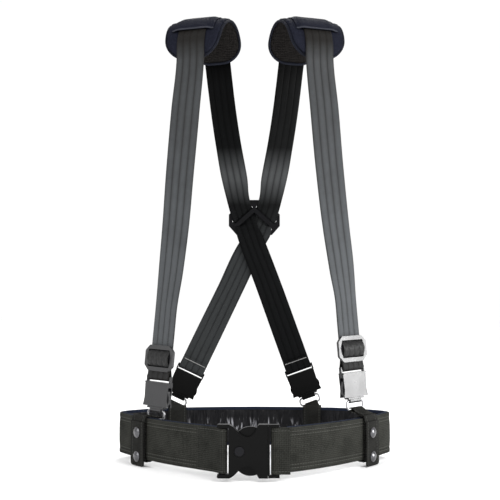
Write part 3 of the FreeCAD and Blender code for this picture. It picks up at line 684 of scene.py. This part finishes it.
# Painted light: past the start of this span the strap grows lighter further down its run.
PAINTED_LIGHTENING = (0.1, 0.42)
TAIL_EDGE = 0.008
UPPER_DARKENING_EDGE = (0.25, 0.3)
GLEAM_RISE = (0.302, 0.335)
GLEAM_FALL = (0.378, 0.345)


class Leg:
    """Frame of one clip: across the strap, up the leg and inward, with places in mm."""

    def __init__(self, name):
        centre, up, heading, self.belt_heading, self.keeper_width = LEGS[name]
        self.centre = Vector(centre)
        self.up = Vector(up).normalized()
        across = along(heading)
        self.across = (across - self.up * across.dot(self.up)).normalized()
        self.inward = self.up.cross(self.across)

    def at(self, x, y, z):
        return self.centre + self.across * x + self.inward * y + self.up * z

    def stop(self, y, z, facing_y, facing_z):
        facing = self.inward * facing_y + self.up * facing_z
        return (self.at(0, y, z), self.across * STRAP_HALF, facing.normalized())


def pad_frame(side):
    """A pad's axis point, the direction across the pad and its forward direction."""
    return Vector((side * 63, -18, 467)), along(side * 15.6), outward(side * 15.6)


def over_pad(side, angles, reach=STRAP_REACH, half=STRAP_HALF):
    """Stops over a pad at angles up from its front, at a reach from its axis."""
    centre, across, front = pad_frame(side)
    stops = []
    for angle in angles:
        radial = front * cos(angle) + Vector((0, 0, sin(angle)))
        stops.append((centre + radial * reach, across * half, radial))
    return stops


def hanging(spots, headings, after):
    """Stops in free air at (x, y, z), each facing a heading and square to its run."""
    points = [Vector(spot) for spot in spots]
    run = [points[0]] + points + [after]
    stops = []
    for index, heading in enumerate(headings):
        down = (run[index + 2] - run[index]).normalized()
        across = along(heading)
        across = (across - down * across.dot(down)).normalized()
        stops.append((points[index], across * STRAP_HALF, down.cross(across)))
    return stops


def webbing_group():
    """Lengthways ribs crossed by slanting picks, as a height from 0 to 1."""
    tree, given, result = new_group("ribbed_webbing", ["Rib", "Pick"], "Height")
    x, y = split(tree, given["Vector"])[:2]
    turn = times(tree, calc(tree, "DIVIDE", y, given["Rib"]), math.pi)
    rib = calc(tree, "POWER", calc(tree, "ABSOLUTE", calc(tree, "SINE", turn)), 0.45)
    lean = calc(tree, "ABSOLUTE", calc(tree, "COSINE", turn))
    pick = calc(tree, "ADD", calc(tree, "DIVIDE", x, given["Pick"]), times(tree, lean, 1.3))
    pick = calc(tree, "ABSOLUTE", calc(tree, "SINE", times(tree, pick, math.pi)))
    both = calc(tree, "ADD", times(tree, rib, 0.75), times(tree, pick, 0.25))
    tree.links.new(both, result)
    return tree


ribbed_webbing = webbing_group()


def strap_finish(name, dark, light, roughness, specular, tail=9.0, upper_darkening=0.0, gleam=0.0):
    """Four-ribbed webbing with painted shade and light: dark where it leaves the sleeve, in
    painted shadow, lighter further down its run, as painted light, and dark again past its tail's
    start.

    The darkening above the cross plate is given as a share, and gleam is how strongly a painted
    highlight lightens it just over the plate.
    """
    finish, tree, shader = new_finish(name, roughness, specular)
    uv = texture_place(tree, "UV")
    ribs = place_group(tree, ribbed_webbing, Vector=uv, Rib=RIB_WIDTH, Pick=PICK_LENGTH)
    run = split(tree, uv)[0]
    height = split(tree, texture_place(tree, "Object"))[2]
    # Painted shade and light: darkest where the strap leaves the sleeve, in its painted shadow,
    # and lighter further down its run.
    painted_light_and_tone = calc(tree, "ADD", times(tree, ramp(tree, run, *SLEEVE_SHADOW), 0.42), 0.05)
    painted_light_and_tone = calc(tree, "ADD", painted_light_and_tone, times(tree, ramp(tree, run, *PAINTED_LIGHTENING), 0.6))
    before_tail = calc(tree, "ADD", ramp(tree, run, tail, tail - TAIL_EDGE), 0.2)
    # The strap is made darker above the cross plate, by the share given.
    above_plate_dimming = calc(tree, "SUBTRACT", 1.0, times(tree, ramp(tree, height, *UPPER_DARKENING_EDGE), upper_darkening))
    painted_light_and_tone = times(tree, painted_light_and_tone, before_tail, above_plate_dimming)
    shade = times(tree, ribs, cloudy(tree, broad=30.0, depth=0.5), painted_light_and_tone)
    colour = tint(tree, dark, light, shade)
    # Painted highlight: a light band on the ribs just over the cross plate.
    if gleam:
        rise, fall = ramp(tree, height, *GLEAM_RISE), ramp(tree, height, *GLEAM_FALL)
        painted_gleam = times(tree, rise, fall, ribs, gleam)
        colour = tint(tree, colour, (0.075, 0.078, 0.08), painted_gleam)
    shader.inputs["Anisotropic"].default_value = 0.5
    surface(tree, shader, colour, ribs, 0.0009)
    return finish


def strap_wander(run, across):
    """Gentle waves of webbing that hangs slack, and its softly rolled edges."""
    roll = -0.25 * (abs(across) / STRAP_HALF) ** 6
    return roll + 0.35 * noise.noise(Vector((run / 60, across / 30, 11)))


def lay_strap(name, stops):
    """One length of strap webbing through its stops."""
    return lay_strip(name, blend_rail(stops), rows=16, thickness=1.5, relief=strap_wander)


def carry_ends(leg):
    """Where the belt stops carrying a strap, and where the clip starts to, in metres."""
    return [leg.at(0, 0, height) * mm for height in CARRY_HEIGHTS]


def clip_turn(leg, face):
    """Stops round the clip's bar, coming down on one face and ending in front on the other."""
    return [leg.stop(y * face, z, lean * face, rise) for y, z, lean, rise in BAR_TURN]


grey_webbing = strap_finish(
    "grey_ribbed_webbing", (0.006, 0.005, 0.004), (0.068, 0.0725, 0.077),
    roughness=0.42, specular=0.08, tail=0.46,
)
for name, side in (("left", -1), ("right", 1)):
    corner = "front_" + name
    leg = Leg(corner)
    swing = RIGHT_STRAP_SWING if side > 0 else 0
    spots = [(side * 84, -60, 398), (side * 91, -50, 326)]
    spots += [(side * 98 + swing * 0.6, -34, 254), (side * 104 + swing, -20, 208)]
    stops = over_pad(side, (90, 74, 58, 42, 26, 10, -7))
    stops += hanging(spots, (side * 9, side * 12, side * 19, side * 27), leg.at(0, 0, 102))
    stops += [leg.stop(0, reach, -1, 0) for reach in (102, 84, 64, 48)]
    stops += clip_turn(leg, 1) + [leg.stop(-1.75, 33.2, 1, 0)]
    strap = lay_strap("front_strap_webbing_" + name, stops)
    wear(strap, grey_webbing)
    start, end = carry_ends(leg)
    tuple(start)
    tuple(end)
    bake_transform(strap)
    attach(strap, "belt")
    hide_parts("front_strap_" + name, "strap_slack_" + corner, "strap_eye_" + corner)

# ------------------------------
# Back straps. The same webbing in black, one of them faded. Each passes down through its tilted
# slot of the cross plate, behind the V bar, out through the middle opening, and crosses over.

SLOT_TILT = 42
SLOT_SLANT = 18.6
THREAD_HALF_LENGTH = 15.5

# The run through the slot, as plate_stop takes it.
SLOT_RUN = [(-6, -3.4, (0, 1, 0.3), 17.2), (0, -0.2, (0, 0.8, 0.6), 17.2)]
SLOT_RUN += [(5, 3.2, (0, 1, 0.2), 18), (9, 3.4, (0, 1, -0.2), 18.6)]

# The two runs below the plate, as X, Y, Z and half the width. The black strap, from the left
# shoulder to the right, crosses in front of the faded one.
NEARER = [(-10.4, 95.9, 272, 15.5), (-7.2, 91.9, 262, 17.5), (-1.6, 91.6, 246, 18.4)]
NEARER += [(16, 91.2, 200, 18.4)]
FURTHER = [(9.0, 98.0, 272, 15.2), (5.0, 94.6, 262, 18), (-4.2, 94.8, 246, 19)]
FURTHER += [(-31, 94.2, 190, 19)]


def slot_middle(side):
    """Middle of one slot of the cross plate."""
    return Vector((side * 16.5, 98, 289.5))


def plate_stop(side, past, depth, facing, half):
    """Stop on the slanting run through a slot: past the slot's middle, and behind mid-plate."""
    slant = Vector((-side * sin(SLOT_SLANT), 0, -cos(SLOT_SLANT)))
    tilt = Vector((cos(SLOT_TILT), 0, -side * sin(SLOT_TILT)))
    point = slot_middle(side) + Vector((0, depth, 0)) + slant * past
    return (point, tilt * half, Vector(facing).normalized())


def level_stop(x, y, z, half):
    return (Vector((x, y, z)), Vector((half, 0, 0)), Vector((0, 1, 0)))


def turned(stops):
    """The same stops with their half-widths turned round, as a back strap runs."""
    return [(point, -half, facing) for point, half, facing in stops]


black_webbing = strap_finish(
    "black_ribbed_webbing", (0.001, 0.001, 0.001), (0.0062, 0.0065, 0.0068),
    roughness=0.5, specular=0.02, gleam=0.8,
)
faded_webbing = strap_finish(
    "faded_ribbed_webbing", (0.0015, 0.0015, 0.0015), (0.03, 0.032, 0.033),
    roughness=0.45, specular=0.04, upper_darkening=0.8, gleam=0.8,
)
pale_thread = tape_finish("pale_thread", (0.05, 0.05, 0.05), (0.4, 0.4, 0.39))

for side, upper, lower, levels in ((-1, "left", "right", NEARER), (1, "right", "left", FURTHER)):
    corner = "back_" + lower
    leg = Leg(corner)
    spots = [(side * 42, 50, 425), (side * 35.5, 70, 382), (side * 27, 85, 336)]
    stops = over_pad(side, (90, 106, 122, 138, 152, 163))
    free = hanging(spots, (180 + side * 14, 180 + side * 8, 180), slot_middle(side))
    stops += [(point, -half, -facing) for point, half, facing in free]
    stops += [plate_stop(side, *stop) for stop in SLOT_RUN]
    stops += [level_stop(*level) for level in levels]
    stops += turned([leg.stop(0, reach, -1, 0) for reach in (66, 48)])
    stops += turned(clip_turn(leg, -1) + [leg.stop(1.9, 34, -1, 0)])
    strap = lay_strap("back_strap_webbing_" + upper, stops)
    wear(strap, black_webbing if side < 0 else faded_webbing)
    start, end = carry_ends(leg)
    tuple(start)
    tuple(end)
    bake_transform(strap)
    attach(strap, "belt")
    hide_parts("back_upper_strap_" + upper, "back_lower_strap_" + lower)
    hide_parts("strap_slack_" + corner, "strap_eye_" + corner)

    ends = (-THREAD_HALF_LENGTH, 0, THREAD_HALF_LENGTH)
    stops = [(leg.at(x, 3.0, 31), leg.up * 0.45, leg.inward) for x in ends]
    sewn = lay_strip("strap_end_thread_" + corner, blend_rail(stops, 1.5), rows=2, thickness=0.5)
    wear(sewn, pale_thread)
    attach(sewn, "clip_head_" + corner)

plate_acetal = moulded_plastic("plate_acetal", (0.003, 0.003, 0.0035), gloss=0.16, grain=0.00002)
wear(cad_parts["cross_plate"], plate_acetal)

# ------------------------------
# Clips and adjusters. Black side-release clips on all four legs and a slide adjuster on each
# front strap; the strap's tail rises over the adjuster's centre bar in a small hump.

clip_acetal = moulded_plastic(
    "clip_acetal", (0.008, 0.008, 0.009), gloss=0.3, grain=0.00004, specular=0.6
)
for corner in LEGS:
    for part in ("clip_housing_", "clip_plug_", "clip_arm_a_", "clip_arm_b_"):
        wear(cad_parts[part + corner], clip_acetal if "front" in corner else black_acetal)

# The hump over the adjuster's bar, as (inward, up) of the leg and the lean of its face.
HUMP = [(-1.7, 32.4, 0), (-3.0, 33.8, -0.6), (-6.2, 38.5, -0.4), (-7.6, 44, 0)]
HUMP += [(-6.2, 49.5, 0.4), (-3.0, 54.2, 0.6), (-1.7, 55.6, 0)]
hump_webbing = strap_finish(
    "glossy_black_webbing", (0.002, 0.002, 0.002), (0.05, 0.051, 0.054),
    roughness=0.3, specular=0.25,
)
for name in ("left", "right"):
    leg = Leg("front_" + name)
    wear(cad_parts["adjuster_frame_" + name], clip_acetal)
    stops = [leg.stop(y, z, -1, lean) for y, z, lean in HUMP]
    hump = lay_strip("adjuster_hump_" + name, blend_rail(stops, 1.0), rows=16, thickness=1.2)
    wear(hump, hump_webbing)
    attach(hump, "adjuster_" + name)

# ------------------------------
# Rings and snaps. Wire rings and the button's spring of dark plated steel, and press studs with
# domed black caps, all as the CAD solids shape them.


def metal_finish(name, colour, roughness):
    """Plated metal, unevenly dulled by handling."""
    finish, tree, shader = new_finish(name, roughness)
    shader.inputs["Metallic"].default_value = 1.0
    dye = cloudy(tree, broad=300.0, depth=0.5)
    darker = tuple(part * 0.5 for part in colour)
    tree.links.new(tint(tree, darker, colour, dye), shader.inputs["Base Color"])
    tree.links.new(times(tree, dye, roughness), shader.inputs["Roughness"])
    return finish


plated_steel = metal_finish("dark_plated_steel", (0.34, 0.34, 0.35), roughness=0.3)
black_snap = metal_finish("black_snap_metal", (0.10, 0.10, 0.105), roughness=0.22)
wear(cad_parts["clip_rings"], plated_steel)
wear(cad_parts["button_spring"], plated_steel)
wear(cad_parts["keeper_studs"], black_snap)
for corner in LEGS:
    wear(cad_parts["keeper_caps_" + corner], black_snap)

# ------------------------------
# Belt keepers. A loop of black webbing round the belt, tapered at the top to hold the ring,
# with an outer flap that is closed by two press studs, one above the other.

WALL = 5.0
LOOP_TOP = 27.4
FLAP_OUT = 7.3
FLAP_CORNER = 4
FLAP_CORNER_TOP = -29
RING_DROP = 29.7

# The loop round the belt's section, as (outward, up), from the top round the front and back.
LOOP_SECTION = [(0, 27.1), (4.2, 26.9), (WALL, 24.5), (WALL, 8), (WALL, -8), (WALL, -24.5)]
LOOP_SECTION += [(4.2, -26.9), (0, -27.1), (-4.2, -26.9), (-WALL, -24.5), (-WALL, -8)]
LOOP_SECTION += [(-WALL, 8), (-WALL, 24.5), (-4.2, 26.9), (0, 27.3)]
FLAP_HEIGHTS = (20.9, 20, 16, 8, 0, -8, -16, -24, -28, -29, -30, -31, -32, -32.6, -33)

keeper_nylon = woven_cloth(
    "keeper_nylon", (0.0015, 0.0015, 0.0015), (0.026, 0.026, 0.024), pitch=0.0014, rows=(0.0095,)
)


def keeper_middle(heading):
    """Place on the belt's centreline at a heading."""
    for middle, radius, first, last in belt_arcs():
        if first <= abs(heading) <= last:
            centre = middle + outward(abs(heading)) * radius
    return Vector((math.copysign(centre.x, heading), centre.y, 0))


def neck_stops(foot, wire, leg, level, half):
    """Up one face from the belt's top to the ring's wire, over it and down the other face."""
    lift = level.cross(wire - foot).normalized()
    rise = (wire - foot).normalized()
    middle = (foot + wire) / 2
    waist = (level + leg.across).normalized() * (half + 8) / 2.2
    return [
        (foot - lift * 0.2, level * (half - 1.5), -lift),
        (middle - lift * 1.2, waist, -lift),
        (wire - lift * 2.2, leg.across * 8.5, -lift),
        (wire + rise * 2.3, leg.across * 8.2, rise),
        (wire + lift * 2.2, leg.across * 8.5, lift),
        (middle + lift * 1.2, waist, lift),
        (foot + lift * 1.4, level * (half - 1.5), lift),
    ]


for corner in LEGS:
    leg = Leg(corner)
    heading = leg.belt_heading
    centre = keeper_middle(heading)
    sideways, facing = along(heading), outward(heading)
    half = leg.keeper_width / 2
    stops = []
    for out, height in LOOP_SECTION:
        lean = (facing * (out / WALL) ** 3 + Vector((0, 0, (height / 27) ** 5))).normalized()
        stops.append((centre + facing * out + Vector((0, 0, height)), sideways * half, lean))
    loop = lay_strip("keeper_webbing_" + corner, blend_rail(stops, 1.6), rows=12, thickness=1.7)
    wear(loop, keeper_nylon)
    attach(loop, "belt")
    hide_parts("keeper_loop_" + corner)

    foot = centre + Vector((0, 0, LOOP_TOP))
    level = sideways if sideways.dot(leg.across) > 0 else -sideways
    stops = neck_stops(foot, leg.at(0, 0, -RING_DROP), leg, level, half)
    neck = lay_strip("keeper_neck_" + corner, blend_rail(stops, 1.0), rows=8, thickness=1.3)
    wear(neck, keeper_nylon)
    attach(neck, "belt")

    stops = []
    for height in FLAP_HEIGHTS:
        below = max(0.0, FLAP_CORNER_TOP - height)
        narrow = FLAP_CORNER - math.sqrt(max(0.0, FLAP_CORNER**2 - below**2))
        place = centre + facing * FLAP_OUT + Vector((0, 0, height))
        stops.append((place, sideways * (half - narrow), facing))
    flap_rail = blend_rail(stops, 1.2)
    flap = lay_strip("keeper_flap_webbing_" + corner, flap_rail, rows=12, thickness=1.7)
    wear(flap, keeper_nylon)
    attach(flap, "keeper_flap_" + corner)
    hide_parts("keeper_flap_" + corner)

# ------------------------------
# Shoulder pads. Foam between navy-black cloth above and black air mesh below, closed round
# the rim with piping. Each starts as the solid's shape and is blown up a little as cloth.

PAD_RADIUS = 50
PAD_HALF_WIDTH = 32
PAD_THICKNESS = 3.9
PAD_START, PAD_END = -8.0, 163.0
PAD_CORNER = 24.0
SWELL_CAP = 2.2
CROWN_SPREAD = 0.17
PIPING_RADIUS = 0.0016
RIM_STEP = 6
SLEEVE_REACH, SLEEVE_HALF = 56.6, 26
EDGE_REACH, EDGE_HALF = 57.1, 26.2
EDGE_WIDTH = 3.2


def speckled_cloth(name, dark, light, scale, randomness, depth, strength=None, dye=None):
    """Cloth of small cells, darker at their middles, with a bump of a real depth in metres."""
    finish, tree, shader = new_finish(name, roughness=0.6, specular=0.01)
    cells = tree.nodes.new("ShaderNodeTexVoronoi")
    cells.inputs["Scale"].default_value = scale
    cells.inputs["Randomness"].default_value = randomness
    tree.links.new(texture_place(tree, "Object"), cells.inputs["Vector"])
    height = shade = cells.outputs[0]
    if strength:
        height = shade = calc(tree, "MINIMUM", times(tree, height, strength), 1.0)
    if dye:
        shade = times(tree, shade, cloudy(tree, broad=dye, depth=0.5))
    surface(tree, shader, tint(tree, dark, light, shade), height, depth)
    return finish


navy_cloth = speckled_cloth(
    "navy_black_cloth", (0.0018, 0.002, 0.0038), (0.018, 0.0195, 0.03),
    scale=1500, randomness=1.0, depth=0.00025, dye=30.0,
)
mesh_cloth = speckled_cloth(
    "black_air_mesh", (0.001, 0.0009, 0.0009), (0.0145, 0.0132, 0.0125),
    scale=420, randomness=0.35, depth=0.0009, strength=1.6,
)
piping_tape = tape_finish("piping_tape", (0.002, 0.0022, 0.004), (0.022, 0.024, 0.034))
sleeve_tape = tape_finish("sleeve_tape", (0.004, 0.0045, 0.007), (0.05, 0.053, 0.066))


def make_active(piece):
    """Put a new object in the scene, selected alone."""
    bpy.context.collection.objects.link(piece)
    bpy.ops.object.select_all(action="DESELECT")
    piece.select_set(True)
    bpy.context.view_layer.objects.active = piece


def pad_start_shape(name):
    """The pad's solid as a finely meshed closed form, a little smaller than it will be."""
    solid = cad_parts["shoulder_pad_" + name]
    pad = bpy.data.objects.new("shoulder_pad_cushion_" + name, solid.data.copy())
    make_active(pad)
    bpy.ops.object.mode_set(mode="EDIT")
    bpy.ops.mesh.select_all(action="SELECT")
    bpy.ops.mesh.remove_doubles(threshold=0.00001)
    bpy.ops.mesh.normals_make_consistent(inside=False)
    bpy.ops.transform.shrink_fatten(value=-0.0008)
    bpy.ops.object.mode_set(mode="OBJECT")
    voxels = pad.modifiers.new("voxels", "REMESH")
    voxels.mode = "VOXEL"
    voxels.voxel_size = 0.003
    bpy.ops.object.modifier_apply(modifier=voxels.name)
    return pad


def swell(pad):
    """Blow the closed form up as cloth, with no point moving more than the cap."""
    before = [vertex.co.copy() for vertex in pad.data.vertices]
    cloth = pad.modifiers.new("filling", "CLOTH")
    cloth.settings.use_pressure = True
    cloth.settings.uniform_pressure_force = 4
    cloth.settings.effector_weights.gravity = 0
    cloth.settings.quality = 5
    cloth.collision_settings.use_collision = False
    scene = bpy.context.scene
    for number in range(1, 21):
        scene.frame_set(number)
    bpy.ops.object.modifier_apply(modifier=cloth.name)
    scene.frame_set(1)
    for vertex, start in zip(pad.data.vertices, before):
        move = vertex.co - start
        if move.length > SWELL_CAP * mm:
            vertex.co = start + move.normalized() * SWELL_CAP * mm


def finish_cushion(pad, middle, across):
    """Press the top to its height, spread the crown sideways, and dress top and underside."""
    for vertex in pad.data.vertices:
        arm = vertex.co - middle
        aside = arm.dot(across)
        arm -= across * aside
        depth = (arm.length - PAD_RADIUS * mm) / mm
        if depth > PAD_THICKNESS:
            vertex.co -= arm.normalized() * (depth - PAD_THICKNESS) * mm
        vertex.co += across * aside * CROWN_SPREAD * max(0.0, arm.normalized().z)
    finer = pad.modifiers.new("finer", "SUBSURF")
    finer.levels = 1
    finer.render_levels = 1
    bpy.ops.object.modifier_apply(modifier=finer.name)
    bpy.ops.object.shade_smooth()
    wear(pad, navy_cloth)
    pad.data.materials.append(mesh_cloth)
    for face in pad.data.polygons:
        arm = face.center - middle
        arm -= across * arm.dot(across)
        face.material_index = 1 if face.normal.dot(arm.normalized()) < -0.35 else 0


def rim_points(side):
    """Points round the pad's underside rim, with rounded corners, in metres."""
    centre, across, front = pad_frame(side)
    length = math.radians(PAD_END - PAD_START) * PAD_RADIUS
    outline = []
    for turn, x, far in ((0, 1, True), (90, -1, True), (180, -1, False), (270, 1, False)):
        for step in range(7):
            angle = turn + step * 15
            along_x = x * (PAD_HALF_WIDTH - PAD_CORNER) + PAD_CORNER * cos(angle)
            run = (length - PAD_CORNER if far else PAD_CORNER) + PAD_CORNER * sin(angle)
            outline.append((along_x, run))
    points = []
    for (x, run), (next_x, next_run) in zip(outline, outline[1:] + outline[:1]):
        pieces = max(1, round(abs(next_run - run) / RIM_STEP))
        for piece in range(pieces):
            share = piece / pieces
            angle = PAD_START + math.degrees((run + (next_run - run) * share) / PAD_RADIUS)
            radial = front * cos(angle) + Vector((0, 0, sin(angle)))
            spread = (x + (next_x - x) * share) * (1 + CROWN_SPREAD * max(0.0, sin(angle)))
            points.append((centre + radial * PAD_RADIUS + across * spread) * mm)
    return points


def lay_piping(name, points):
    """Round cord along a closed ring of points."""
    wire = bpy.data.curves.new("pad_piping_" + name, "CURVE")
    wire.dimensions = "3D"
    wire.bevel_depth = PIPING_RADIUS
    wire.bevel_resolution = 4
    wire.resolution_u = 6
    spline = wire.splines.new("NURBS")
    spline.points.add(len(points) - 1)
    for place, point in zip(spline.points, points):
        place.co = (point.x, point.y, point.z, 1)
    spline.use_cyclic_u = True
    spline.order_u = 4
    make_active(bpy.data.objects.new("pad_piping_" + name, wire))
    bpy.ops.object.convert(target="MESH")
    return bpy.context.object


def sleeve_relief(side):
    """Relief of a band pulled tight over the strap, sloping down to the pad beside it."""

    def relief(run, across):
        edge = max(0.0, abs(across) - 18.0)
        wander = noise.noise(Vector((run / 9, across / 14, side)))
        return -min(2.0, 0.16 * edge + 0.03 * edge**2) + 0.25 * wander

    return relief


for name, side in (("left", -1), ("right", 1)):
    centre, across, front = pad_frame(side)
    pad = pad_start_shape(name)
    swell(pad)
    finish_cushion(pad, centre * mm, across)
    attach(pad, "belt")
    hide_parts("shoulder_pad_" + name)

    piping = lay_piping(name, rim_points(side))
    wear(piping, piping_tape)
    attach(piping, "belt")

    relief = sleeve_relief(side)
    rail = blend_rail(over_pad(side, range(31, 124, 4), SLEEVE_REACH, SLEEVE_HALF))
    sleeve = lay_strip("pad_sleeve_" + name, rail, rows=24, thickness=1.0, relief=relief)
    wear(sleeve, navy_cloth)
    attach(sleeve, "belt")
    if side < 0:
        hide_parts("pad_sleeves")
    for end, first in (("front", 30.4), ("back", 119.6)):
        angles = (first, first + EDGE_WIDTH / 2, first + EDGE_WIDTH)
        rail = blend_rail(over_pad(side, angles, EDGE_REACH, EDGE_HALF), 1.0)
        label = "sleeve_binding_" + end + "_" + name
        edge = lay_strip(label, rail, rows=24, thickness=1.1, relief=relief)
        wear(edge, sleeve_tape)
        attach(edge, "belt")
